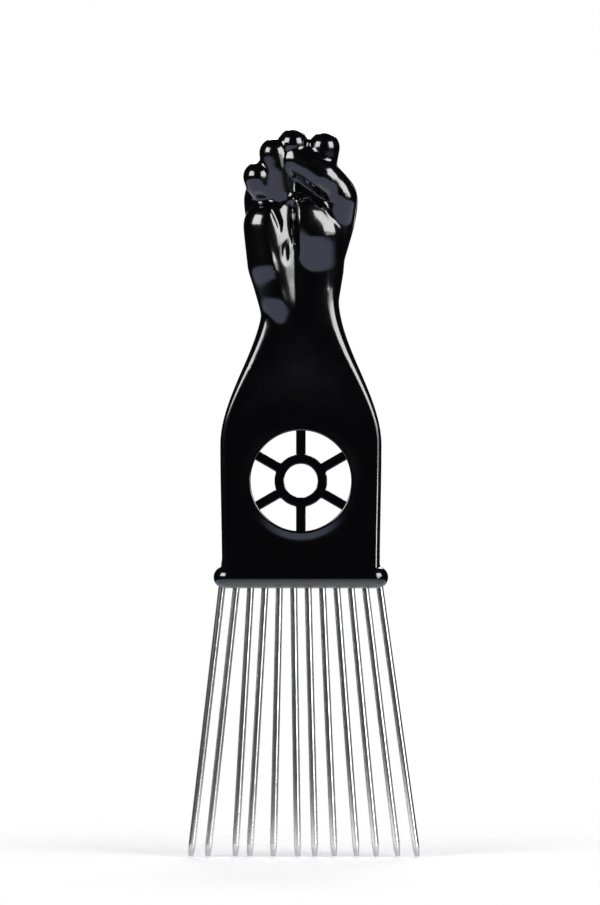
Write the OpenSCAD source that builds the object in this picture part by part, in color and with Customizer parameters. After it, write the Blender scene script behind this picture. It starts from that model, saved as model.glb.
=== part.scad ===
// Afro pick: a fan of round steel wire tines, moulded into a glossy handle
// that runs from a root bar through a flat plate and a wrist to a raised fist.
// Z runs up from the tine tips to the knuckles, X runs across the fan,
// and the palm side of the fist faces -Y. The mould parts on the plane Y = 0.

/* [Tines] */
// Number of wire tines in the fan
tine_count = 12; // [6:1:12]
// Diameter of the wire
tine_d = 1.6; // [1.2:0.05:2]
// Bare length of a tine, from the root bar down to the tips
tine_reach = 60.8; // [45:0.5:90]
// Distance between tines where they leave the root bar
root_pitch = 3.26; // [2.8:0.01:3.4]
// Distance between the tips of the fan
tip_pitch = 4.67; // [3.4:0.01:5.5]
// Sideways shift of all the tips against the handle
tip_shift = 0.7; // [-2:0.1:2]
// Length of the tapered tip
tip_taper = 2.4; // [1:0.1:5]
// Diameter of the flat end of a tip
tip_end_d = 1.1; // [0.6:0.05:1.15]
// Length of wire held inside the handle
tine_embed = 8.6; // [6:0.2:9]
// Depth of the locking grooves in the held length
groove_depth = 0.15; // [0.1:0.05:0.3]
// Length of a locking groove
groove_l = 0.8; // [0.5:0.1:1.2]
// Gap left all round a wire when the plastic shrinks
tine_gap = 0.02; // [0.01:0.01:0.05]

/* [Root bar] */
// Length of the bar that the tines stand in
bar_w = 39.7; // [39.4:0.1:50]
// Height of the bar
bar_h = 5.0; // [4.5:0.1:6]
// Depth of the bar, front to back
bar_t = 7.2; // [6.4:0.1:10]

/* [Plate] */
// Width of the plate at its widest
plate_w = 36.6; // [36:0.1:39]
// Width of the plate where it meets the bar
plate_foot_w = 35.8; // [35:0.1:38]
// Thickness of the plate
plate_t = 4.2; // [3:0.1:6]
// Height of the straight sides above the bar's axis
plate_h = 30; // [28:0.5:50]
// Radius of the rounding on the plate's edges
edge_r = 1.3; // [0.8:0.1:1.5]

/* [Window] */
// Diameter of the round window
window_d = 22.8; // [18:0.2:26]
// Height of the window's centre above the bar's axis
window_rise = 21.9; // [21:0.1:24]
// Diameter of the low boss round the window
boss_d = 28.6; // [27:0.2:30]
// Rise of the boss over the plate at the window's rim
boss_rise = 0.4; // [0.2:0.1:0.8]
// Width of the flat lip on the boss
boss_lip = 0.6; // [0.3:0.1:1]
// Number of spokes across the window
spoke_count = 6; // [5:1:8]
// Width of a spoke, and of the ring that the spokes carry
spoke_w = 2.2; // [1.5:0.1:2.6]
// Outer diameter of the ring
ring_d = 12.0; // [9:0.2:14]
// Thickness of the spokes and the ring
spoke_t = 3.0; // [2:0.1:3.4]

/* [Wrist] */
// Height of the shoulder, from the straight sides to the neck
shoulder_h = 33.7; // [26:0.5:45]
// Width of the neck, the narrowest place
neck_w = 17.2; // [14:0.1:20]
// Thickness of the neck
neck_t = 10.4; // [9:0.1:12]
// Radius of the rounding on the neck's edges
neck_edge_r = 3.4; // [2:0.1:4]
// Height of the wrist, from the neck to the heel of the hand
wrist_h = 10.5; // [9:0.5:16]

/* [Fist] */
// Width of the fist
fist_w = 25.9; // [22:0.1:30]
// Height of the fist, from the heel of the hand to the top knuckle
fist_h = 27.5; // [24:0.1:32]
// Thickness of the fist, from the thumb to the back of the hand
fist_t = 16.6; // [14:0.1:18]
// Diameter of the middle finger
finger_d = 6.6; // [5.6:0.1:7.2]
// Diameter of the thumb
thumb_d = 7.4; // [6:0.1:8]
// Diameter of the ball of the thumb
pad_d = 9.6; // [8:0.1:11]
// Softness of the creases where two rounded masses meet
crease = 1; // [0.4:0.1:1.6]

/* [Hidden] */
function tine_name(i) = str("tine_", i < 9 ? "0" : "", i + 1);
$fn = 64;
plastic = [0.03, 0.03, 0.035];
steel = [0.72, 0.72, 0.74];
overrun = 1;

// Heights of the levels, from the tine tips up
bar_z = tine_reach + bar_h / 2;
window_z = bar_z + window_rise;
shoulder_z = bar_z + plate_h;
neck_z = shoulder_z + shoulder_h;
heel_z = neck_z + wrist_h;

// How far each tip stands from its even place in the fan, in tip pitches
tip_stray_shares = [0, -0.18, 0.16, -0.14, 0.01, 0.19, 0.03, -0.03, 0.06, 0.02, 0.06, 0];

// The fingers and the thumb. Each joint has its place, as shares of the fist's
// width, thickness and height, and its diameter in shares of finger_d or thumb_d.
// A finger runs from its big knuckle at the back, over the front knuckle and down
// its front, to its last joint against the palm. The thumb runs from tip to wrist.
finger_shares = [
    [[[-0.359, 0.241, 0.542], 0.97], [[-0.38, -0.247, 0.6], 0.985],
        [[-0.367, -0.235, 0.538], 0.909], [[-0.34, -0.181, 0.502], 0.909]],
    [[[-0.201, 0.283, 0.695], 1], [[-0.236, -0.283, 0.793], 1.015],
        [[-0.216, -0.265, 0.673], 0.924], [[-0.185, -0.187, 0.48], 0.955]],
    [[[-0.023, 0.295, 0.764], 1.015], [[-0.069, -0.277, 0.873], 1.015],
        [[-0.054, -0.253, 0.709], 0.939], [[-0.031, -0.157, 0.527], 0.97]],
    [[[0.189, 0.265, 0.724], 1.045], [[0.205, -0.253, 0.84], 1.076],
        [[0.178, -0.235, 0.673], 1.015], [[0.116, -0.235, 0.535], 1.06], [[0.008, -0.235, 0.498], 1]]];
thumb_shares = [
    [[-0.035, -0.283, 0.742], 0.932], [[0.069, -0.304, 0.687], 0.986], [[0.189, -0.301, 0.611], 1.054],
    [[0.293, -0.259, 0.524], 0.973], [[0.359, -0.211, 0.429], 0.959], [[0.332, -0.114, 0.273], 1],
    [[0.232, -0.06, 0.051], 0.905]];

// Inside the back of the hand a bone runs from each big knuckle towards the wrist:
// its sideways gather, its place in depth and height, and its diameter in finger_d
bone_gather_share = 0.6;
bone_shares = [0.036, -0.055, 1.288];

// The ball of the thumb and the heel of the hand, flat masses that run down the
// inner wrist and fade out above the shoulder. Each joint has the place of its front
// and its width in pad_d, and each mass has its depth as a share of its width.
mass_shares = [
    [0.72, [[[-0.015, -0.476, 0.207], 1.625], [[0.008, -0.458, 0.113], 1.667],
        [[0.108, -0.325, -0.142], 1.396], [[0.116, -0.295, -0.382], 1.208], [[0.108, -0.217, -0.709], 0.917]]],
    [0.82, [[[-0.27, -0.446, 0.196], 1.271], [[-0.239, -0.422, -0.113], 1.25],
        [[-0.212, -0.361, -0.236], 1.188], [[-0.181, -0.361, -0.385], 1.104], [[-0.147, -0.289, -0.593], 0.979]]]];

// The long slope from the heel of the hand down into the groove of the wrist, at
// rising heights: height, crest across, crest in depth, groove across
slope_shares = [
    [-0.618, -0.039, -0.316, -0.035], [-0.4, -0.112, -0.337, -0.039], [0.018, -0.239, -0.416, -0.058],
    [0.236, -0.286, -0.434, -0.073], [0.418, -0.309, -0.398, -0.085]];

// How steeply the slope leaves its crest and reaches the groove, how high the slope
// fades in and out, and how far the ball of the thumb takes to rise from the groove
lean_shares = [0.2, 0.62];
fade_shares = [0.1, 0.09];
climb = 1.3;

// Tendons on the back of the hand: diameter, rise over the skin at the knuckles,
// how deep they lie at the neck, and how far they gather there
tendon_d = 4.4;
tendon_rise = 0.35;
tendon_sink = 0.6;
gather_share = 0.36;

// The skin of the handle is a grid of columns round it and rings up it
columns = 88;
plate_rings = 4;
arm_rings = 22;
fist_rings = 11;
cap_rings = 27;
side_share = 1 / 22;
edge_share = 6 / 22;
digit_steps = 6;
flank_share = 0.2;
neck_oval_share = 0.25;

// Passes that even the rings of the hand, and the first ring that they reach
even_passes = 2;
even_from = 20;

// The palm, an oval that fills the fist behind the fingers, and the hub in its middle
hub_share = 0.42;
palm_share = 0.7;
palm_back_share = 0.05;
cap_share = 0.4;
hub_z = heel_z + fist_h * hub_share;
palm_t = fist_t * palm_share;
palm_back = fist_t * palm_back_share;
cap_h = fist_h * cap_share;

function mix(a, b, t) = a + (b - a) * t;
function ease(t) = let (s = min(max(t, 0), 1)) s * s * (3 - 2 * s);
function soft_max(a, b, soft) = max(a, b) + pow(max(soft - abs(a - b), 0), 2) / (4 * soft);
function column(table, k) = [for (row = table) [row[0], row[k]]];

// A place in the fist, from shares of its width, thickness and height
function in_fist(s) = [s.x * fist_w, s.y * fist_t, heel_z + s.z * fist_h];

// A blob is a centre, a radius, and its depth as a share of its width. A digit is a
// row of round blobs that run from joint to joint, close enough to keep it smooth.
function digit(joints, d) = [
    for (k = [0 : len(joints) - 2])
        let (a = in_fist(joints[k][0]), b = in_fist(joints[k + 1][0]),
             steps = ceil(norm(b - a) / (d / digit_steps)))
        for (i = [0 : steps]) let (t = i / steps)
            [mix(a, b, t), mix(joints[k][1], joints[k + 1][1], t) * d / 2, 1]];

// A mass is a digit made flat, set back until its front lies at its joints
function mass(flat, joints) = [
    for (b = digit(joints, pad_d)) [b[0] + [0, b[1] * flat, 0], b[1], flat]];

// A bone, from the big knuckle of a finger into the palm
function bone(joint) = digit(
    [joint, [[joint[0].x * bone_gather_share, bone_shares[0], bone_shares[1]], bone_shares[2]]], finger_d);

// A point in the back of the arm, at a tendon's rise over the skin
function on_back(x, z, rise) = let (half = arm_half(z), side = x / half.x)
    [x, half.y * sqrt(1 - side * side) + arm_back(z) + rise - tendon_d / 2, z];

function tendon(knuckle) =
    let (x = knuckle.x * fist_w, top = heel_z + knuckle.z * fist_h - finger_d / 2,
         steps = ceil((top - neck_z) / (tendon_d / digit_steps)))
    [for (i = [0 : steps]) let (t = i / steps)
        [on_back(mix(x, x * gather_share, t), mix(top, neck_z, t), mix(tendon_rise, -tendon_sink, t)),
            tendon_d / 2, 1]];

function fist_blobs() = concat(
    [for (f = finger_shares) each concat(digit(f, finger_d), bone(f[0]), tendon(f[0][0]))],
    digit(thumb_shares, thumb_d),
    [for (m = mass_shares) each mass(m[0], m[1])]);

// How far a ray runs before it leaves a blob; a ray that misses it gets the
// distance of a skirt that falls away round the blob, so creases stay closed.
// The flank between the two is eased, because a ray would only graze it.
function flatten(v, flat) = [v.x, v.y / flat, v.z];
function leave(from, way, b) =
    let (off = flatten(b[0] - from, b[2]), run = flatten(way, b[2]), size = run * run,
         along = off * run / size, hit = along * along - (off * off - b[1] * b[1]) / size,
         flank = pow(flank_share * b[1], 2) / size)
    along + (hit > 0 ? sqrt(hit + flank) : 2 * sqrt(flank) - sqrt(flank - hit));

function swell(reach, from, way, blobs, i = 0) =
    i == len(blobs) ? reach
    : swell(soft_max(reach, leave(from, way, blobs[i]), crease), from, way, blobs, i + 1);

// Half width, half thickness and middle of the arm at a height, without the
// fingers, thumb and palm that lie on it
function plate_half(z) = mix(plate_foot_w, plate_w, ease((z - bar_z) / plate_h)) / 2;
function shoulder(z) = ease((z - shoulder_z) / shoulder_h);
function wrist(z) = ease((z - neck_z) / (hub_z - neck_z));
function arm_half(z) = [
    z < neck_z ? mix(plate_half(z), neck_w / 2, shoulder(z)) : mix(neck_w, fist_w, wrist(z)) / 2,
    z < neck_z ? mix(plate_t, neck_t, shoulder(z)) / 2 : mix(neck_t, palm_t, wrist(z)) / 2];
function arm_back(z) = palm_back * wrist(z);

// Column j of a section with rounded edges
function edged_point(half, edge, j) =
    let (quarter = columns / 4, turn = floor(j / quarter), k = j - turn * quarter,
         t = (turn % 2 == 1 ? quarter - k : k) / quarter,
         side = min(t / side_share, 1),
         arc = 90 * min(max((t - side_share) / edge_share, 0), 1),
         run = max((t - side_share - edge_share) / (1 - side_share - edge_share), 0))
    [(turn == 0 || turn == 3 ? 1 : -1) * ((half.x - edge) * (1 - run) + edge * cos(arc)),
     (turn < 2 ? 1 : -1) * ((half.y - edge) * side + edge * sin(arc))];

// Shortens a ray where the skin lies in front of the slope into the wrist's groove
function carve(reach, way, z) =
    let (h = (z - heel_z) / fist_h, back = arm_back(z),
         x = way.x * reach, y = back + way.y * reach,
         crest = fist_w * lookup(h, column(slope_shares, 1)),
         front = fist_t * lookup(h, column(slope_shares, 2)),
         groove = fist_w * lookup(h, column(slope_shares, 3)),
         run = groove - crest, share = min(max((x - crest) / run, 0), 1),
         lean = mix(lean_shares[0], mix(lean_shares[0], lean_shares[1], share), 1 / 2) * share,
         low = slope_shares[0][0], high = slope_shares[len(slope_shares) - 1][0],
         fade = ease((h - low) / fade_shares[0]) * ease((high - h) / fade_shares[1])
             * (1 - ease((x - groove) / climb)))
    way.y > -side_share || x < crest || fade == 0 ? reach
        : (mix(y, soft_max(y, front + run * lean, crease / 4), fade) - back) / way.y;

// One ring of the arm, a plate below the shoulder that turns into an oval in the fist
function arm_ring(z, blobs) =
    let (half = arm_half(z), oval = mix(neck_oval_share * shoulder(z), 1, wrist(z)),
         edge = mix(edge_r, neck_edge_r, shoulder(z)), hub = [0, arm_back(z), z])
    [for (j = [0 : columns - 1])
        let (a = 360 * j / columns,
             p = mix(edged_point(half, edge, j), [half.x * cos(a), half.y * sin(a)], oval),
             way = [p.x, p.y, 0] / norm(p))
        hub + way * (z < neck_z - wrist_h ? norm(p) : carve(swell(norm(p), hub, way, blobs), way, z))];

// One ring of the cap, seen from the hub in the middle of the fist
function cap_ring(tilt, blobs) = let (half = arm_half(hub_z), hub = [0, palm_back, hub_z])
    [for (j = [0 : columns - 1])
        let (a = 360 * j / columns, out = [half.x * cos(a), half.y * sin(a)],
             way = [out.x * cos(tilt), out.y * cos(tilt), norm(out) * sin(tilt)] / norm(out),
             reach = 1 / norm([way.x / half.x, way.y / half.y, way.z / cap_h]))
        hub + way * swell(reach, hub, way, blobs)];

// Evens the rings of the hand, each point drawn half-way to the middle of its four
// neighbours, so that steep flanks show no steps of the grid
function even_point(rings, i, j) = rings[i][j] / 2
    + (rings[i - 1][j] + rings[i + 1][j] + rings[i][(j + 1) % columns]
        + rings[i][(j + columns - 1) % columns]) / 8;
function even(rings, passes) = passes == 0 ? rings
    : even([for (i = [0 : len(rings) - 1])
        i < even_from || i == len(rings) - 1 ? rings[i]
            : [for (j = [0 : columns - 1]) even_point(rings, i, j)]], passes - 1);

function skin_rings() = let (blobs = fist_blobs()) concat(
    [for (i = [0 : plate_rings - 1]) arm_ring(mix(bar_z, shoulder_z, i / plate_rings), [])],
    [for (i = [0 : arm_rings - 1]) arm_ring(mix(shoulder_z, heel_z, i / arm_rings), blobs)],
    [for (i = [0 : fist_rings - 1]) arm_ring(mix(heel_z, hub_z, i / fist_rings), blobs)],
    [for (i = [0 : cap_rings - 1]) cap_ring(90 * i / cap_rings, blobs)]);

// The skin as one closed solid, with a flat end in the bar and a crown on top
module skin() {
    rings = even(skin_rings(), even_passes);
    top = [0, palm_back, hub_z] + [0, 0, swell(cap_h, [0, palm_back, hub_z], [0, 0, 1], fist_blobs())];
    last = len(rings) - 1;
    polyhedron(
        points = concat([for (ring = rings) each ring], [top]),
        faces = concat(
            [[for (j = [0 : columns - 1]) j]],
            [for (i = [0 : last - 1], j = [0 : columns - 1])
                let (k = (j + 1) % columns, a = i * columns, b = a + columns)
                each [[a + j, b + j, b + k], [a + j, b + k, a + k]]],
            [for (j = [0 : columns - 1])
                [last * columns + j, len(rings) * columns, last * columns + (j + 1) % columns]]),
        convexity = 8);
}

// The root bar, its section and its plan both with round ends
module root_bar() {
    r = bar_h / 2;
    straight = bar_w / 2 - bar_t / 2;
    translate([0, 0, bar_z]) {
        rotate([90, 0, 90]) linear_extrude(2 * straight, center = true) bar_section();
        for (side = [-1, 1]) translate([side * straight, 0, 0])
            rotate_extrude() intersection() {
                bar_section();
                translate([0, -r - overrun]) square([bar_t, bar_h + 2 * overrun]);
            }
    }
}

module bar_section() {
    flat = bar_t / 2 - bar_h / 2;
    square([2 * flat, bar_h], center = true);
    for (side = [-1, 1]) translate([side * flat, 0]) circle(d = bar_h);
}

// Half outline of a wire, tip to held end, grown all round by a gap
function tine_outline(length, gap) = let (r = tine_d / 2 + gap, held = length - tine_embed,
    first = held + tine_embed * 0.4, second = held + tine_embed * 0.7, neck = r - groove_depth) [
    [0, 0], [tip_end_d / 2 + gap, 0], [r, tip_taper],
    [r, first], [neck, first + groove_depth], [neck, first + groove_l], [r, first + groove_l + groove_depth],
    [r, second], [neck, second + groove_depth], [neck, second + groove_l], [r, second + groove_l + groove_depth],
    [r, length + gap], [0, length + gap]];

// Wire i of the fan, lying along the line from its tip to its root
module wire(i, gap = 0) {
    mid = (tine_count - 1) / 2;
    tip = [(i - mid + tip_stray_shares[i]) * tip_pitch + tip_shift, 0, 0];
    root = [(i - mid) * root_pitch, 0, tine_reach];
    reach = norm(root - tip);
    length = reach + tine_embed;
    translate(tip) rotate([0, atan2(root.x - tip.x, root.z - tip.z), 0])
        rotate_extrude() polygon(tine_outline(length, gap));
}

// The low boss round the window, on both faces of the plate. Its cone starts inside
// the plate, so that it meets the plate's face at the boss's own diameter.
module window_boss() {
    face = plate_t / 2;
    inner = window_d / 2;
    lip = inner + boss_lip;
    run = (boss_d / 2 - lip) / 2;
    translate([0, 0, window_z]) rotate([90, 0, 0]) rotate_extrude() polygon([
        [inner - overrun, -face - boss_rise], [lip, -face - boss_rise],
        [boss_d / 2 + run, -face + boss_rise / 2], [boss_d / 2 + run, face - boss_rise / 2],
        [lip, face + boss_rise], [inner - overrun, face + boss_rise]]);
}

module window_cut() {
    translate([0, 0, window_z]) rotate([90, 0, 0])
        cylinder(d = window_d, h = plate_t + 2 * boss_rise + 2 * overrun, center = true);
}

// A ring carried by spokes, the plain ornament that fills the window
module window_wheel() {
    spoke_l = window_d / 2 - ring_d / 2 + spoke_w;
    translate([0, 0, window_z]) rotate([90, 0, 0]) {
        difference() {
            cylinder(d = ring_d, h = spoke_t, center = true);
            cylinder(d = ring_d - 2 * spoke_w, h = spoke_t + 2 * overrun, center = true);
        }
        for (i = [0 : spoke_count - 1]) rotate([0, 0, 90 + 360 * i / spoke_count])
            translate([ring_d / 2 - spoke_w / 2 + spoke_l / 2, 0, 0])
                cube([spoke_l, spoke_w, spoke_t], center = true);
    }
}

module handle() {
    color(plastic) difference() {
        union() {
            difference() {
                union() {
                    skin();
                    root_bar();
                    window_boss();
                }
                window_cut();
            }
            window_wheel();
        }
        for (i = [0 : tine_count - 1]) wire(i, tine_gap);
    }
}

module tine(i) {
    color(steel) wire(i);
}

handle();
for (i = [0 : tine_count - 1])
    tine(i);
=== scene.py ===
import math
import bpy
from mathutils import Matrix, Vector


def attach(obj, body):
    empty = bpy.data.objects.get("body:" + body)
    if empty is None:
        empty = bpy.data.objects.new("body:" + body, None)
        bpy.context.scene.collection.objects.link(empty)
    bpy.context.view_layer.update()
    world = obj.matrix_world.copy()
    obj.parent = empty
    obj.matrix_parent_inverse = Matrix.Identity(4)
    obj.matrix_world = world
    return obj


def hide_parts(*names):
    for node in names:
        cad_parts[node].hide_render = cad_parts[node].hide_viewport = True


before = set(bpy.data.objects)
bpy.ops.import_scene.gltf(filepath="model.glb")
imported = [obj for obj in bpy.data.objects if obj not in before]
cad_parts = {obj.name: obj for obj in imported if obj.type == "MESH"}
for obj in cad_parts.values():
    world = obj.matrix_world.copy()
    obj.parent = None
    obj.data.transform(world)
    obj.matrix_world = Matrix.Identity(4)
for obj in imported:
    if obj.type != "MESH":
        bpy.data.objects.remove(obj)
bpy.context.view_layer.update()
mm = 0.001  # the pieces are shaped in millimetres, then brought to metres
mergeGap = 0.0005


def letGo():
    if bpy.context.mode != "OBJECT":
        bpy.ops.object.mode_set(mode="OBJECT")
    bpy.ops.object.select_all(action="DESELECT")


def takeUp(*shapes):
    letGo()
    for shape in shapes:
        shape.select_set(True)
    bpy.context.view_layer.objects.active = shapes[0]


def openMesh(action="SELECT"):
    bpy.ops.object.mode_set(mode="EDIT")
    bpy.ops.mesh.select_all(action=action)


def closeMesh():
    bpy.ops.object.mode_set(mode="OBJECT")


def setTransforms():
    bpy.ops.object.transform_apply(location=True, rotation=True, scale=True)


def joinUp(shapes, name):
    takeUp(*shapes)
    bpy.ops.object.join()
    shape = bpy.context.object
    setTransforms()
    shape.name = shape.data.name = name
    return shape


def applyModifier(shape, kind, **values):
    takeUp(shape)
    modifier = shape.modifiers.new(kind, kind)
    for name, value in values.items():
        setattr(modifier, name, value)
    bpy.ops.object.modifier_apply(modifier=modifier.name)


def combine(shape, tool, how):
    applyModifier(shape, "BOOLEAN", object=tool, operation=how, solver="EXACT")
    bpy.data.objects.remove(tool)


def smoothOut(shape, steps, group=""):
    applyModifier(shape, "SMOOTH", factor=0.5, iterations=steps, vertex_group=group)


def melt(shape, voxel):
    shape.data.remesh_voxel_size = voxel
    takeUp(shape)
    bpy.ops.object.voxel_remesh()


def toMetres(shape):
    takeUp(shape)
    bpy.ops.transform.resize(value=(mm, mm, mm), center_override=(0, 0, 0))
    setTransforms()


def mix(a, b, share):
    return a + (b - a) * share


def clamp(value, low=0, high=1):
    return min(max(value, low), high)


def ease(share):
    share = clamp(share)
    return share * share * (3 - 2 * share)


# Turns a profile of (radius, height) points into a solid round the Z axis
def turnProfile(points, steps, name):
    letGo()
    mesh = bpy.data.meshes.new(name)
    shape = bpy.data.objects.new(name, mesh)
    bpy.context.scene.collection.objects.link(shape)
    count = len(points)
    mesh.from_pydata([(r, 0, z) for r, z in points], [(i, (i + 1) % count) for i in range(count)], [])
    takeUp(shape)
    openMesh()
    bpy.ops.mesh.spin(steps=steps, angle=2 * math.pi, center=(0, 0, 0), axis=(0, 0, 1))
    bpy.ops.mesh.select_all(action="SELECT")
    bpy.ops.mesh.remove_doubles(threshold=mergeGap)
    bpy.ops.mesh.normals_make_consistent(inside=False)
    closeMesh()
    return shape


# The arm: plate, shoulder, neck and wrist in one skin
arm = {
    "barHeight": 63.3,       # axis of the root bar
    "shoulderHeight": 93.3,  # top of the plate's straight sides
    "neckHeight": 127.0,
    "hubHeight": 149.05,     # middle of the fist
    "seamHeight": 110.6,     # the fist is welded on here
    "weldGap": 0.4,
    "footWidth": 35.8,
    "plateWidth": 36.6,
    "plateThickness": 4.2,
    "edgeRadius": 1.3,
    "neckEdgeRadius": 3.4,
    "neckOval": 0.25,
    "neckWidth": 17.2,
    "neckThickness": 10.4,
    "palmWidth": 25.9,
    "palmThickness": 11.6,
    "palmBack": 0.83,
    "columns": 176,
    "sideShare": 1 / 22,     # part of a quarter's columns on the flat of the edge
    "edgeShare": 6 / 22,     # and part on its round
    "plateStep": 2.5,
    "shoulderStep": 0.55,
    "smoothAngle": 32,
}


# How far a height has come up the shoulder, and up the wrist
def armShares(z):
    shoulder = ease((z - arm["shoulderHeight"]) / (arm["neckHeight"] - arm["shoulderHeight"]))
    wrist = ease((z - arm["neckHeight"]) / (arm["hubHeight"] - arm["neckHeight"]))
    return shoulder, wrist


# Half width, half thickness and middle of the arm's section at a height
def armHalf(z):
    shoulder, wrist = armShares(z)
    plateRise = ease((z - arm["barHeight"]) / (arm["shoulderHeight"] - arm["barHeight"]))
    plateWidth = mix(arm["footWidth"], arm["plateWidth"], plateRise)
    width = mix(mix(plateWidth, arm["neckWidth"], shoulder), arm["palmWidth"], wrist)
    thickness = mix(mix(arm["plateThickness"], arm["neckThickness"], shoulder), arm["palmThickness"], wrist)
    return width / 2, thickness / 2, arm["palmBack"] * wrist


# A point of the section: a rectangle with round edges that turns into an oval
def sectionPoint(share, z):
    halfX, halfY, back = armHalf(z)
    shoulder, wrist = armShares(z)
    radius = mix(arm["edgeRadius"], arm["neckEdgeRadius"], shoulder)
    oval = mix(arm["neckOval"] * shoulder, 1, wrist)
    turn = int(share * 4) % 4
    part = share * 4 - int(share * 4)
    part = 1 - part if turn % 2 else part
    side = min(part / arm["sideShare"], 1)
    arc = math.radians(90 * clamp((part - arm["sideShare"]) / arm["edgeShare"]))
    past = arm["sideShare"] + arm["edgeShare"]
    run = max((part - past) / (1 - past), 0)
    x = (halfX - radius) * (1 - run) + radius * math.cos(arc)
    y = (halfY - radius) * side + radius * math.sin(arc)
    x = x if turn in (0, 3) else -x
    y = y if turn < 2 else -y
    angle = 2 * math.pi * share
    return (mix(x, halfX * math.cos(angle), oval), mix(y, halfY * math.sin(angle), oval) + back, z)


# A flat grid is rolled into the skin of the arm between two heights, and its ends closed
def rollArm(name, heights, columns):
    letGo()
    rows = len(heights) - 1
    bpy.ops.mesh.primitive_grid_add(x_subdivisions=columns, y_subdivisions=rows, size=2)
    shape = bpy.context.object
    shape.name = shape.data.name = name
    for vertex in shape.data.vertices:
        column = round((vertex.co.x + 1) / 2 * columns) % columns
        row = round((vertex.co.y + 1) / 2 * rows)
        vertex.co = sectionPoint(column / columns, heights[row])
    openMesh()
    bpy.ops.mesh.remove_doubles(threshold=mergeGap)
    bpy.ops.mesh.select_all(action="DESELECT")
    bpy.ops.mesh.select_non_manifold()
    bpy.ops.mesh.edge_face_add()
    bpy.ops.mesh.select_all(action="SELECT")
    bpy.ops.mesh.normals_make_consistent(inside=False)
    closeMesh()
    return shape


# Even values from low to high, about a step apart
def spread(low, high, step):
    count = max(1, round((high - low) / step))
    return [low + (high - low) * i / count for i in range(count + 1)]


plateHeights = (spread(arm["barHeight"], arm["shoulderHeight"], arm["plateStep"])
                + spread(arm["shoulderHeight"], arm["seamHeight"], arm["shoulderStep"])[1:])
plate = rollArm("plate", plateHeights, arm["columns"])
print("plate rolled")


bar = {"width": 39.7, "height": 5.0, "depth": 7.2, "steps": 64, "arcSteps": 12}


# A disc with a round rim, pulled apart along X into a bar
def makeBar():
    radius = bar["height"] / 2
    flat = bar["depth"] / 2 - radius
    arc = [math.pi * (i / bar["arcSteps"] - 0.5) for i in range(bar["arcSteps"] + 1)]
    rim = [(flat + radius * math.cos(a), radius * math.sin(a)) for a in arc]
    shape = turnProfile([(0, -radius)] + rim + [(0, radius)], bar["steps"], "rootBar")
    takeUp(shape)
    pull = bar["width"] / 2 - bar["depth"] / 2
    # half a step of turn, so that no column lies where the disc is pulled apart
    bpy.ops.transform.rotate(value=math.pi / bar["steps"], orient_axis="Z", center_override=(0, 0, 0))
    setTransforms()
    openMesh("DESELECT")
    closeMesh()
    for face in shape.data.polygons:
        face.select = abs(face.normal.z) > 0.999
    bpy.ops.object.mode_set(mode="EDIT")
    bpy.ops.mesh.dissolve_faces()
    closeMesh()
    for vertex in shape.data.vertices:
        vertex.co.x += math.copysign(pull, vertex.co.x)
        vertex.co.z += arm["barHeight"]
    return shape


combine(plate, makeBar(), "UNION")
print("root bar added")


# The window with its low boss, and the wheel that fills it
window = {
    "height": 85.2,
    "width": 22.8,
    "bossWidth": 28.6,
    "bossRise": 0.4,
    # the boss's slope: out from its edge, up from the plate's face
    "bossSlope": [(0.5, -0.3), (0.4, -0.02), (-0.4, 0.04), (-1.2, 0.13)],
    "lipRadius": 0.3,
    "lipDrop": 0.01,
    "steps": 128,
    "ringOuter": 12.0,
    "ringSides": 96,
    "barWidth": 2.2,
    "spokeSunk": 1.6,  # length hidden in the ring and the plate, in spoke widths
    "wheelThickness": 3.0,
    "spokes": 6,
    "voxel": 0.2,
    "easeSteps": 6,
    "kept": 0.4,
}


# Standing a turned shape up in the window, its axis along Y
def standInWindow(shape):
    takeUp(shape)
    bpy.ops.transform.rotate(value=math.pi / 2, orient_axis="X", center_override=(0, 0, 0))
    bpy.ops.transform.translate(value=(0, 0, window["height"]))
    setTransforms()


# The low boss round the window, with the window through it
def makeBoss():
    r = window["width"] / 2
    edge = window["bossWidth"] / 2
    face = arm["plateThickness"] / 2
    top = face + window["bossRise"]
    lip = window["lipRadius"]
    half = [(edge + out, face + up) for out, up in window["bossSlope"]]
    half += [(r + 2 * lip, top - window["lipDrop"])]
    half += [(r + lip * (1 - math.sin(a)), top - lip * (1 - math.cos(a)))
             for a in [math.radians(d) for d in (0, 30, 60, 90)]]
    under = [(x, -z) for x, z in reversed(half)]
    shape = turnProfile(half + under, window["steps"], "boss")
    standInWindow(shape)
    return shape


def windowCutter():
    r = window["width"] / 2
    deep = arm["plateThickness"]
    shape = turnProfile([(0, -deep), (r, -deep), (r, deep), (0, deep)], window["steps"], "windowCutter")
    standInWindow(shape)
    return shape


def addRound(radius, depth):
    letGo()
    bpy.ops.mesh.primitive_cylinder_add(vertices=window["ringSides"], radius=radius, depth=depth)
    return bpy.context.object


def makeWheel():
    outer = window["ringOuter"] / 2
    deep = window["wheelThickness"] / 2
    hole = addRound(outer - window["barWidth"], 4 * deep)
    ring = addRound(outer, 2 * deep)
    combine(ring, hole, "DIFFERENCE")
    parts = [ring]
    length = window["width"] / 2 - outer + window["spokeSunk"] * window["barWidth"]
    middle = outer - window["barWidth"] / 2 + length / 2
    for i in range(window["spokes"]):
        angle = math.radians(90 + 360 * i / window["spokes"])
        letGo()
        bpy.ops.mesh.primitive_cube_add(
            size=1, location=(middle * math.cos(angle), middle * math.sin(angle), 0), rotation=(0, 0, angle))
        bpy.context.object.scale = (length, window["barWidth"], 2 * deep)
        parts.append(bpy.context.object)
    wheel = joinUp(parts, "wheel")
    # Melted together and eased, so that every corner has a moulded fillet
    melt(wheel, window["voxel"])
    smoothOut(wheel, window["easeSteps"])
    applyModifier(wheel, "DECIMATE", ratio=window["kept"])
    standInWindow(wheel)
    return wheel


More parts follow.
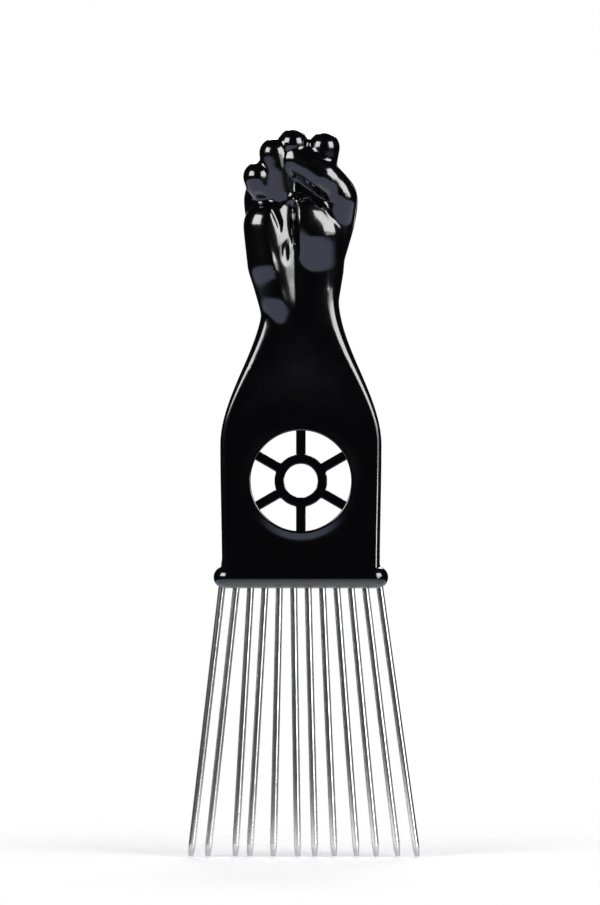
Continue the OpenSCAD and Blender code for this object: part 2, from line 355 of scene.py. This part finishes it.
combine(plate, windowCutter(), "DIFFERENCE")
combine(plate, makeBoss(), "UNION")
print("window cut")


# The fist: balls and tapers, melted together
fist = {
    "sides": 32,
    "voxel": 0.27,
    "closing": 0.5,
    "closingEase": 2,
    "easeSteps": 4,
    # big knuckle at the back, front knuckle, middle of the bent finger, last joint against
    # the palm: x, y, z, diameter
    "fingers": [
        [(-9.3, 4.0, 152.4, 6.4), (-9.85, -4.1, 154.0, 6.5), (-9.5, -3.9, 152.3, 6.0),
         (-8.8, -3.0, 151.3, 6.0)],
        [(-5.2, 4.7, 156.6, 6.6), (-6.1, -4.7, 159.3, 6.7), (-5.4, -4.2, 156.0, 6.6),
         (-4.7, -2.8, 150.7, 6.8)],
        [(-0.6, 4.9, 158.5, 6.7), (-1.8, -4.6, 161.5, 6.7), (-1.6, -2.4, 156.8, 6.2),
         (-1.0, -1.0, 152.0, 6.0)],
        [(4.9, 4.4, 157.4, 6.9), (5.3, -4.2, 160.6, 7.1), (4.6, -3.7, 156.0, 6.7),
         (3.6, -0.9, 152.4, 6.2), (1.2, -0.4, 151.0, 5.6)],
    ],
    "thumb": [(-0.9, -4.7, 157.9, 6.9), (1.8, -5.05, 156.4, 7.3), (4.9, -5.0, 154.3, 7.8),
              (7.6, -4.3, 151.9, 7.2), (9.2, -3.4, 149.3, 7.3), (7.6, -0.8, 144.8, 9.3),
              (6.4, -0.9, 138.9, 8.2)],
    # flat masses of the palm: x, front y, z and width of each joint, then how flat they are
    "masses": {
        "thumbBall": ([(0.2, -7.9, 143.2, 15.6), (2.4, -7.6, 140.6, 15.4), (3.7, -5.4, 133.6, 12.4),
                       (3.0, -4.9, 127.0, 11.6), (2.8, -3.6, 118.0, 8.8)], 0.72),
        "palmHeel": ([(-7.0, -7.4, 142.9, 12.2), (-6.2, -7.1, 134.1, 12.0), (-5.5, -6.3, 131.1, 11.4),
                      (-4.7, -6.2, 126.9, 10.6), (-3.8, -4.8, 121.2, 9.4)], 0.82),
    },
    "boneGather": 0.6,
    "boneEnd": (0.6, 136.0, 8.5),  # depth, height and width where a bone ends in the wrist
    "tendonWidth": 4.4,
    "tendonStart": 3.3,            # below its knuckle
    "tendonSteps": 8,
    "tendonRise": (0.35, -0.6),    # out of the skin, at the knuckle and at the neck
    "tendonGather": 0.36,
    "coreHeight": 9.0,
    "coreFoot": 3,                 # below the seam
    "coreStep": 1.0,
    "coreColumns": 88,
    "coreSides": 64,
    "coreFront": (-9, -4.4),       # free below, flat behind the fingers
    "coreFrontFade": (144.5, 2.5),
    "wristEase": (26, 22),
    "wristTop": (140, 159),        # on the palm side and on the back
    "wristFade": 6,
    "seamFade": 3,
    "backTurn": 2,                 # depth over which the palm side turns into the back
}


# A ball at each joint, and a taper between each two
def limb(joints):
    parts = []
    for x, y, z, width in joints:
        letGo()
        bpy.ops.mesh.primitive_uv_sphere_add(
            segments=fist["sides"], ring_count=fist["sides"] // 2, radius=width / 2, location=(x, y, z))
        parts.append(bpy.context.object)
    for a, b in zip(joints, joints[1:]):
        start, end = Vector(a[:3]), Vector(b[:3])
        way = end - start
        lean = (a[3] - b[3]) / 2 / way.length
        start += way.normalized() * a[3] / 2 * lean
        end += way.normalized() * b[3] / 2 * lean
        shrink = math.sqrt(1 - lean * lean)
        letGo()
        bpy.ops.mesh.primitive_cone_add(
            vertices=fist["sides"], radius1=a[3] / 2 * shrink, radius2=b[3] / 2 * shrink,
            depth=(end - start).length, location=(start + end) / 2,
            rotation=way.to_track_quat("Z", "Y").to_euler())
        parts.append(bpy.context.object)
    return parts


# A mass of flesh: a limb made flat, then pushed back until its front lies where it should
def flatMass(joints, flatness):
    shape = joinUp(limb([(x, 0, z, width) for x, front, z, width in joints]), "mass")
    takeUp(shape)
    bpy.ops.transform.resize(value=(1, flatness, 1), center_override=(0, 0, 0))
    setTransforms()
    for vertex in shape.data.vertices:
        z = clamp(vertex.co.z, joints[-1][2], joints[0][2])
        for high, low in zip(joints, joints[1:]):
            if z >= low[2]:
                share = (z - low[2]) / (high[2] - low[2])
                vertex.co.y += mix(low[1] + low[3] / 2 * flatness, high[1] + high[3] / 2 * flatness, share)
                break
    return shape


# A tendon lies half sunk in the back of the arm, from its knuckle to the neck
def tendon(knuckle):
    joints = []
    for i in range(fist["tendonSteps"] + 1):
        share = i / fist["tendonSteps"]
        z = mix(knuckle[2] - fist["tendonStart"], arm["neckHeight"], share)
        x = mix(knuckle[0], knuckle[0] * fist["tendonGather"], share)
        halfX, halfY, back = armHalf(min(z, arm["hubHeight"]))
        surface = halfY * math.sqrt(1 - (x / halfX) ** 2) + back
        rise = mix(*fist["tendonRise"], share)
        joints.append((x, surface + rise - fist["tendonWidth"] / 2, z, fist["tendonWidth"]))
    return limb(joints)


# The end of the arm inside the fist, with a round top
def makeCore():
    heights = spread(arm["seamHeight"] - fist["coreFoot"], arm["hubHeight"], fist["coreStep"])
    core = rollArm("armCore", heights, fist["coreColumns"])
    letGo()
    bpy.ops.mesh.primitive_uv_sphere_add(segments=fist["coreSides"], ring_count=fist["coreSides"] // 2,
                                         radius=1, location=(0, arm["palmBack"], arm["hubHeight"]))
    bpy.context.object.scale = (arm["palmWidth"] / 2, arm["palmThickness"] / 2, fist["coreHeight"])
    core = joinUp([core, bpy.context.object], "core")
    fadeFrom, fadeOver = fist["coreFrontFade"]
    for vertex in core.data.vertices:
        front = mix(*fist["coreFront"], ease((vertex.co.z - fadeFrom) / fadeOver))
        vertex.co.y = max(vertex.co.y, front)
    return core


def makeFist():
    parts = [makeCore()]
    for finger in fist["fingers"]:
        big = finger[0]
        parts += limb(finger) + tendon(big)
        parts += limb([big, (big[0] * fist["boneGather"], *fist["boneEnd"])])
    parts += limb(fist["thumb"])
    for joints, flatness in fist["masses"].values():
        parts.append(flatMass(joints, flatness))
    shape = joinUp(parts, "fist")
    melt(shape, fist["voxel"])
    # Grown, melted again and shrunk back, so that every crease gets a round bottom
    applyModifier(shape, "DISPLACE", strength=fist["closing"], mid_level=0)
    melt(shape, fist["voxel"])
    smoothOut(shape, fist["closingEase"])
    applyModifier(shape, "DISPLACE", strength=-fist["closing"], mid_level=0)
    melt(shape, fist["voxel"])
    smoothOut(shape, fist["easeSteps"])
    easeWrist(shape, fist["wristEase"][0])
    return shape


# The wrist and the back of the hand are eased more than the fingers
def easeWrist(shape, steps):
    wrist = shape.vertex_groups.new(name="wrist")
    for vertex in shape.data.vertices:
        x, y, z = vertex.co
        top = mix(*fist["wristTop"], ease(y / fist["backTurn"]))
        share = ease((top - z) / fist["wristFade"]) * ease((z - arm["seamHeight"]) / fist["seamFade"])
        wrist.add([vertex.index], share, "REPLACE")
    smoothOut(shape, steps, "wrist")


# The inner wrist and the palm: a long slope runs from the crest of the heel down into a
# groove, and a steep side climbs out of it onto the ball of the thumb
palm = {
    # the carving keeps to these heights and stays in front of this depth
    "heights": (119, 155),
    "deepest": -1.5,
    # height, x of the crest, y of the crest, x of the groove
    "slope": [(120.5, -1.0, -5.25, -0.9), (126.5, -2.9, -5.6, -1.0), (138.0, -6.2, -6.9, -1.5),
              (144.0, -7.4, -7.2, -1.9), (149.0, -8.0, -6.6, -2.2)],
    "flatLean": 0.2,
    "steepLean": 0.62,
    "climb": 1.6,
    "topFade": (149.5, 2.5),
    "crestFade": 1.2,
    "soft": 0.3,
    # flat places in the slope: how far in front they lie, then height, left and right edge
    "flats": [
        (-6.1, [(141.0, -4.6, -4.8), (143.2, -5.4, -4.1), (144.8, -6.1, -3.9), (147.6, -7.3, -3.6)]),
        (-5.6, [(133.9, -3.1, -3.7), (135.6, -3.9, -2.6), (138.0, -4.0, -2.0), (140.9, -2.1, -2.5)]),
    ],
    "flatEdge": 0.8,
    # drawn creases: points as x and height, then half width and depth
    "creases": [
        ([(-1.7, 146.4), (-1.2, 148.0), (0.2, 149.3), (1.8, 149.6), (3.2, 149.0), (4.2, 147.8)], 1.0, 0.4),
        ([(7.0, 149.8), (10.0, 153.2)], 2.2, 0.25),
    ],
    "facing": 0.3,  # creases fade out where the skin turns away from the front
    "easeSteps": (3, 8),
    "easeTop": (152, 156),
    "easeTurn": 5,  # the easing reaches higher on the thumb's side of this x
    "easeFoot": 116,
    "easeFade": 3,
    "easeDepth": 2,
}


def slopeAt(z):
    table = palm["slope"]
    for low, high in zip(table, table[1:]):
        if z <= high[0]:
            share = clamp((z - low[0]) / (high[0] - low[0]))
            return [mix(a, b, share) for a, b in zip(low[1:], high[1:])]
    return table[-1][1:]


# How far a place on the palm, seen from the front, lies inside a flat place
def insideShare(rows, x, z):
    for low, high in zip(rows, rows[1:]):
        if low[0] <= z <= high[0]:
            share = (z - low[0]) / (high[0] - low[0])
            left, right = mix(low[1], high[1], share), mix(low[2], high[2], share)
            return ease(min(x - left, right - x) / palm["flatEdge"] + 0.5)
    return 0


def softMax(a, b, soft):
    return max(a, b) + max(soft - abs(a - b), 0) ** 2 / (4 * soft)


# Distance from a place on the palm, seen from the front, to a drawn line
def distanceTo(line, x, z):
    nearest = 99
    for (ax, az), (bx, bz) in zip(line, line[1:]):
        runX, runZ = bx - ax, bz - az
        share = ((x - ax) * runX + (z - az) * runZ) / (runX * runX + runZ * runZ)
        share = clamp(share)
        nearest = min(nearest, math.hypot(x - ax - runX * share, z - az - runZ * share))
    return nearest


def carvePalm(shape):
    lowest, highest = palm["heights"]
    fadeTop, fadeOver = palm["topFade"]
    for vertex in shape.data.vertices:
        x, y, z = vertex.co
        if y > palm["deepest"] or z < lowest or z > highest:
            continue
        crestX, crestY, grooveX = slopeAt(z)
        width = max(grooveX - crestX, 0.01)
        share = clamp((x - crestX) / width)
        lean = palm["flatLean"] * share + (palm["steepLean"] - palm["flatLean"]) * share * share / 2
        fade = ease((fadeTop - z) / fadeOver) * ease((x - crestX) / palm["crestFade"] + 1)
        fade *= 1 - ease((x - grooveX) / palm["climb"])
        if fade > 0:
            y = mix(y, softMax(y, crestY + width * lean, palm["soft"]), fade)
        for front, rows in palm["flats"]:
            y = max(y, mix(y, front, insideShare(rows, x, z)))
        cuts = [depth * ease(1 - distanceTo(line, x, z) / halfWidth)
                for line, halfWidth, depth in palm["creases"]]
        vertex.co.y = y + max(cuts) * ease(-vertex.normal.y / palm["facing"])
    melt(shape, fist["voxel"])
    smoothOut(shape, palm["easeSteps"][0])
    inner = shape.vertex_groups.new(name="palm")
    for vertex in shape.data.vertices:
        x, y, z = vertex.co
        top = mix(*palm["easeTop"], ease(x - palm["easeTurn"]))
        share = ease((top - z) / palm["easeFade"]) * ease((z - palm["easeFoot"]) / palm["easeFade"])
        inner.add([vertex.index], share * ease(-y / palm["easeDepth"]), "REPLACE")
    smoothOut(shape, palm["easeSteps"][1], "palm")
    easeWrist(shape, fist["wristEase"][1])


hand = makeFist()
print("fist melted together,", len(hand.data.vertices), "points")
carvePalm(hand)
print("palm carved")


# The fist's open foot is bridged to the arm's open top
def weldHandle():
    takeUp(hand)
    openMesh()
    bpy.ops.mesh.bisect(plane_co=(0, 0, arm["seamHeight"] + arm["weldGap"]), plane_no=(0, 0, 1),
                        clear_inner=True)
    closeMesh()
    takeUp(plate)
    openMesh("DESELECT")
    closeMesh()
    for face in plate.data.polygons:
        face.select = face.normal.z > 0.99 and abs(face.center.z - arm["seamHeight"]) < 0.01
    bpy.ops.object.mode_set(mode="EDIT")
    bpy.ops.mesh.delete(type="ONLY_FACE")
    shape = joinUp([plate, hand], "fistHandle")
    openMesh("DESELECT")
    bpy.ops.mesh.select_mode(type="EDGE")
    bpy.ops.mesh.select_non_manifold()
    bpy.ops.mesh.bridge_edge_loops()
    closeMesh()
    return shape


handle = joinUp([weldHandle(), makeWheel()], "fistHandle")
toMetres(handle)
takeUp(handle)
bpy.ops.object.shade_smooth_by_angle(angle=math.radians(arm["smoothAngle"]))
applyModifier(handle, "WEIGHTED_NORMAL", keep_sharp=True)
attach(handle, "root")
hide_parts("handle")
print("handle welded,", len(handle.data.polygons), "faces")


tines = {
    "count": 12,
    "width": 1.6,
    "reach": 60.8,
    "held": 8.6,
    "rootPitch": 3.26,
    "tipPitch": 4.67,
    "tipShift": 0.7,
    "tipLength": 2.4,
    "tipWidth": 1.1,
    "tipEdge": 0.12,
    "stretchFrom": 0.7,  # above this share of the reach, a wire gets the length that its lean adds
    "strays": [0, -0.18, 0.16, -0.14, 0.01, 0.19, 0.03, -0.03, 0.06, 0.02, 0.06, 0],
    "sides": 40,
    "smoothAngle": 40,
}


# One wire, standing on its tip: a disc drawn up ring by ring
def drawWire():
    letGo()
    small, full, top, taper = tines["tipWidth"], tines["width"], tines["reach"], tines["tipLength"]
    bpy.ops.mesh.primitive_circle_add(vertices=tines["sides"], radius=small / 2 - tines["tipEdge"],
                                      fill_type="NGON")
    wire = bpy.context.object
    # height and width of each ring: the tip's rounded edge, its taper, then the straight wire
    rings = [(0.03, small - 0.1), (0.1, small + 0.01), (taper - 0.3, full - 0.08), (taper, full - 0.015),
             (taper + 0.4, full), (top / 2, full), (top, full), (top + tines["held"], full)]
    height, width = 0, small - 2 * tines["tipEdge"]
    openMesh()
    for nextHeight, nextWidth in rings:
        bpy.ops.mesh.extrude_region_move(TRANSFORM_OT_translate={"value": (0, 0, nextHeight - height)})
        share = nextWidth / width
        bpy.ops.transform.resize(value=(share, share, 1), center_override=(0, 0, 0))
        height, width = nextHeight, nextWidth
    bpy.ops.mesh.select_all(action="SELECT")
    bpy.ops.mesh.normals_make_consistent(inside=False)
    closeMesh()
    return wire


def placeTines():
    pattern = drawWire()
    placed = []
    middle = (tines["count"] - 1) / 2
    for i in range(tines["count"]):
        takeUp(pattern)
        bpy.ops.object.duplicate(linked=False)
        tine = bpy.context.object
        tipX = (i - middle + tines["strays"][i]) * tines["tipPitch"] + tines["tipShift"]
        rootX = (i - middle) * tines["rootPitch"]
        length = math.hypot(rootX - tipX, tines["reach"])
        for vertex in tine.data.vertices:
            if vertex.co.z > tines["reach"] * tines["stretchFrom"]:
                vertex.co.z += length - tines["reach"]
        tine.rotation_euler = (0, math.atan2(rootX - tipX, tines["reach"]), 0)
        tine.location = (tipX, 0, 0)
        name = f"tine_{i + 1:02d}"
        tine = joinUp([tine], "wire_" + name[-2:])
        toMetres(tine)
        bpy.ops.object.shade_smooth_by_angle(angle=math.radians(tines["smoothAngle"]))
        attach(tine, "root")
        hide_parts(name)
        placed.append(tine)
    bpy.data.objects.remove(pattern)
    return placed


wires = placeTines()
print("tines placed")


# A small workbench for node materials: nodes are added and wired by name
def newFinish(name):
    finish = bpy.data.materials.new(name)
    finish.use_nodes = True
    return finish, finish.node_tree.nodes, finish.node_tree.links


def addNode(nodes, kind, values=None, **settings):
    node = nodes.new(kind)
    for name, value in settings.items():
        setattr(node, name, value)
    for name, value in (values or {}).items():
        node.inputs[name].default_value = value
    return node


def ramp(nodes, links, source, lowIn, highIn, lowOut, highOut, smooth=False):
    node = addNode(nodes, "ShaderNodeMapRange",
                   {"From Min": lowIn, "From Max": highIn, "To Min": lowOut, "To Max": highOut})
    node.interpolation_type = "SMOOTHSTEP" if smooth else "LINEAR"
    links.new(source, node.inputs["Value"])
    return node.outputs["Result"]


# Blends two colours or two numbers by a share; each is a value or another node's output
def blend(nodes, links, share, first, second, kind="RGBA"):
    node = addNode(nodes, "ShaderNodeMix", data_type=kind)
    for name, value in (("Factor", share), ("A", first), ("B", second)):
        if isinstance(value, bpy.types.NodeSocket):
            links.new(value, node.inputs[name])
        else:
            node.inputs[name].default_value = value
    return node.outputs["Result"]


noiseSpan = (0.3, 0.7)  # most of a noise lies between these

plasticFinish = {
    "colour": (0.0004, 0.0004, 0.0006, 1),
    "sheen": (0.0009, 0.0009, 0.0012, 1),
    "roughness": (0.14, 0.18),
    "ior": 1.55,
    "coatIor": 1.55,
    "coatRoughness": 0.09,
    "cloudScale": 320,
    "peelScale": 900,
    "flowScale": 140,
    "peelHeight": 0.0000012,
    "flowHeight": 0.00001,
}


def makePlastic():
    finish, nodes, links = newFinish("glossBlackPlastic")
    skin = nodes["Principled BSDF"]
    place = addNode(nodes, "ShaderNodeTexCoord")
    flow = addNode(nodes, "ShaderNodeTexNoise", {"Scale": plasticFinish["flowScale"], "Detail": 1})
    peel = addNode(nodes, "ShaderNodeTexNoise", {"Scale": plasticFinish["peelScale"], "Detail": 2})
    cloud = addNode(nodes, "ShaderNodeTexNoise",
                    {"Scale": plasticFinish["cloudScale"], "Detail": 4, "Roughness": 0.6})
    for noise in (flow, peel, cloud):
        links.new(place.outputs["Object"], noise.inputs["Vector"])
    mottle = cloud.outputs["Fac"]
    links.new(blend(nodes, links, mottle, plasticFinish["colour"], plasticFinish["sheen"]),
              skin.inputs["Base Color"])
    links.new(ramp(nodes, links, mottle, *noiseSpan, *plasticFinish["roughness"]), skin.inputs["Roughness"])
    wave = addNode(nodes, "ShaderNodeBump", {"Strength": 1, "Distance": plasticFinish["flowHeight"]})
    links.new(flow.outputs["Fac"], wave.inputs["Height"])
    grain = addNode(nodes, "ShaderNodeBump", {"Strength": 1, "Distance": plasticFinish["peelHeight"]})
    links.new(peel.outputs["Fac"], grain.inputs["Height"])
    links.new(wave.outputs["Normal"], grain.inputs["Normal"])
    links.new(grain.outputs["Normal"], skin.inputs["Normal"])
    links.new(grain.outputs["Normal"], skin.inputs["Coat Normal"])
    skin.inputs["IOR"].default_value = plasticFinish["ior"]
    skin.inputs["Coat Weight"].default_value = 1
    skin.inputs["Coat IOR"].default_value = plasticFinish["coatIor"]
    skin.inputs["Coat Roughness"].default_value = plasticFinish["coatRoughness"]
    return finish


steelFinish = {
    "colour": (0.72, 0.71, 0.71, 1),
    "bright": (0.84, 0.83, 0.82, 1),
    "frost": (0.52, 0.52, 0.53, 1),
    "roughness": (0.21, 0.25),
    "frostRoughness": 0.55,
    "tipFrom": 0.0012,
    "tipTo": 0.0030,
    "streak": (5200, 5200, 25),
    "streakHeight": 0.0000004,
}


# Drawn wire with fine streaks along it, frosted at the tip
def makeSteel():
    finish, nodes, links = newFinish("drawnSteel")
    skin = nodes["Principled BSDF"]
    place = addNode(nodes, "ShaderNodeTexCoord")
    stretch = addNode(nodes, "ShaderNodeMapping", {"Scale": steelFinish["streak"]})
    links.new(place.outputs["Object"], stretch.inputs["Vector"])
    streak = addNode(nodes, "ShaderNodeTexNoise", {"Scale": 1, "Detail": 4, "Roughness": 0.6})
    links.new(stretch.outputs["Vector"], streak.inputs["Vector"])
    height = addNode(nodes, "ShaderNodeSeparateXYZ")
    links.new(place.outputs["Object"], height.inputs["Vector"])
    tip = ramp(nodes, links, height.outputs["Z"], steelFinish["tipFrom"], steelFinish["tipTo"], 1, 0)
    drawn = blend(nodes, links, streak.outputs["Fac"], steelFinish["colour"], steelFinish["bright"])
    links.new(blend(nodes, links, tip, drawn, steelFinish["frost"]), skin.inputs["Base Color"])
    shaft = ramp(nodes, links, streak.outputs["Fac"], *noiseSpan, *steelFinish["roughness"])
    links.new(blend(nodes, links, tip, shaft, steelFinish["frostRoughness"], "FLOAT"),
              skin.inputs["Roughness"])
    bump = addNode(nodes, "ShaderNodeBump", {"Strength": 1, "Distance": steelFinish["streakHeight"]})
    links.new(streak.outputs["Fac"], bump.inputs["Height"])
    links.new(bump.outputs["Normal"], skin.inputs["Normal"])
    skin.inputs["Metallic"].default_value = 1
    return finish


def dress(shape, finish):
    shape.data.materials.clear()
    shape.data.materials.append(finish)


plastic = makePlastic()
steel = makeSteel()
dress(handle, plastic)
dress(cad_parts["handle"], plastic)
for wire in wires:
    dress(wire, steel)
for i in range(tines["count"]):
    dress(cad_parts[f"tine_{i + 1:02d}"], steel)
print("finishes made")


studio = {
    # angle round the object, distance, height of the middle, width, height, power
    "boxes": {
        "leftBox": (-52, 0.7, 0.46, 0.48, 0.46, 5),
        "rightBox": (52, 0.7, 0.42, 0.48, 0.5, 5.2),
        "sideBox": (52, 0.7, 0.13, 0.3, 0.08, 0.2),
        "lowBox": (42, 0.7, 0.02, 0.28, 0.12, 0.015),
    },
    "lowSpread": 16,
    "backPlace": (0.1, 0.75, 0.7),
    "backAim": (0, 0, 0.148),
    "backSize": (0.6, 0.4),
    "backPower": 4,
    "floorRadius": 0.13,
    "floorSides": 96,
    "floorRoughness": 0.6,
    "floorDrop": 0.0002,
    "floorColour": (0.85, 0.85, 0.86, 1),
    "floorFade": (0.02, 0.125),
    # tones of the room in reflections, and where they begin and end
    "front": (0.008, 0.008, 0.01, 1),
    "table": (0.52, 0.54, 0.74, 1),
    "tableFade": (-0.27, -0.36),
    "behind": (0.9, 0.9, 0.95, 1),
    "behindFade": (0.93, 1),
    "fill": 0.35,
    "cameraDistance": 1.2,
    "viewHeight": 0.2054,
    "viewCentre": (-0.0002, 0.0916),
    "sensor": 36,
}


def softbox(name, place, aim, size, power):
    letGo()
    bpy.ops.object.light_add(type="AREA", location=place)
    lamp = bpy.context.object
    lamp.name = name
    lamp.data.shape = "RECTANGLE"
    lamp.data.size, lamp.data.size_y = size
    lamp.data.energy = power
    lamp.rotation_euler = (Vector(aim) - Vector(place)).to_track_quat("-Z", "Y").to_euler()
    lamp.visible_camera = False
    return lamp


def makeLamps():
    for name, (degrees, distance, height, width, tall, power) in studio["boxes"].items():
        angle = math.radians(degrees)
        place = (distance * math.sin(angle), -distance * math.cos(angle), height)
        lamp = softbox(name, place, (0, 0, height), (width, tall), power)
        if name == "lowBox":
            lamp.data.spread = math.radians(studio["lowSpread"])  # a grid keeps it off the fist
    softbox("backBox", studio["backPlace"], studio["backAim"], studio["backSize"], studio["backPower"])


def makeFloor():
    letGo()
    bpy.ops.mesh.primitive_circle_add(vertices=studio["floorSides"], radius=studio["floorRadius"],
                                      fill_type="NGON", location=(0, 0, -studio["floorDrop"]))
    floor = bpy.context.object
    floor.name = "floor"
    finish, nodes, links = newFinish("paleFloor")
    paint = nodes["Principled BSDF"]
    paint.inputs["Base Color"].default_value = studio["floorColour"]
    paint.inputs["Roughness"].default_value = studio["floorRoughness"]
    place = addNode(nodes, "ShaderNodeTexCoord")
    reach = addNode(nodes, "ShaderNodeVectorMath", operation="LENGTH")
    links.new(place.outputs["Object"], reach.inputs[0])
    fade = ramp(nodes, links, reach.outputs["Value"], *studio["floorFade"], 1, 0, smooth=True)
    links.new(fade, paint.inputs["Alpha"])
    dress(floor, finish)


# White to the camera; in reflections white behind, a bluish table below and dim in front
def makeRoom():
    world = bpy.data.worlds.new("room")
    bpy.context.scene.world = world
    world.use_nodes = True
    nodes, links = world.node_tree.nodes, world.node_tree.links
    nodes.clear()
    place = addNode(nodes, "ShaderNodeTexCoord")
    way = addNode(nodes, "ShaderNodeSeparateXYZ")
    links.new(place.outputs["Generated"], way.inputs["Vector"])
    behind = ramp(nodes, links, way.outputs["Y"], *studio["behindFade"], 0, 1)
    below = ramp(nodes, links, way.outputs["Z"], *studio["tableFade"], 0, 1)
    tone = blend(nodes, links, below, studio["front"], studio["table"])
    tone = blend(nodes, links, behind, tone, studio["behind"])
    mirrored = addNode(nodes, "ShaderNodeBackground")
    links.new(tone, mirrored.inputs["Color"])
    soft = addNode(nodes, "ShaderNodeBackground", {"Color": (1, 1, 1, 1), "Strength": studio["fill"]})
    white = addNode(nodes, "ShaderNodeBackground", {"Color": (1, 1, 1, 1), "Strength": 1})
    path = addNode(nodes, "ShaderNodeLightPath")
    forGloss = addNode(nodes, "ShaderNodeMixShader")
    links.new(path.outputs["Is Glossy Ray"], forGloss.inputs["Fac"])
    links.new(soft.outputs["Background"], forGloss.inputs[1])
    links.new(mirrored.outputs["Background"], forGloss.inputs[2])
    seen = addNode(nodes, "ShaderNodeMath", operation="MAXIMUM")
    links.new(path.outputs["Is Camera Ray"], seen.inputs[0])
    links.new(path.outputs["Is Transmission Ray"], seen.inputs[1])
    forCamera = addNode(nodes, "ShaderNodeMixShader")
    links.new(seen.outputs["Value"], forCamera.inputs["Fac"])
    links.new(forGloss.outputs["Shader"], forCamera.inputs[1])
    links.new(white.outputs["Background"], forCamera.inputs[2])
    out = addNode(nodes, "ShaderNodeOutputWorld")
    links.new(forCamera.outputs["Shader"], out.inputs["Surface"])


def makeCamera():
    letGo()
    x, z = studio["viewCentre"]
    bpy.ops.object.camera_add(location=(x, -studio["cameraDistance"], z), rotation=(math.pi / 2, 0, 0))
    camera = bpy.context.object
    camera.data.sensor_width = studio["sensor"]
    camera.data.lens = studio["sensor"] * studio["cameraDistance"] / studio["viewHeight"]
    camera.data.clip_start = 0.05
    bpy.context.scene.camera = camera


makeLamps()
makeFloor()
makeRoom()
makeCamera()
bpy.context.scene.view_settings.view_transform = "Standard"
print("studio set")
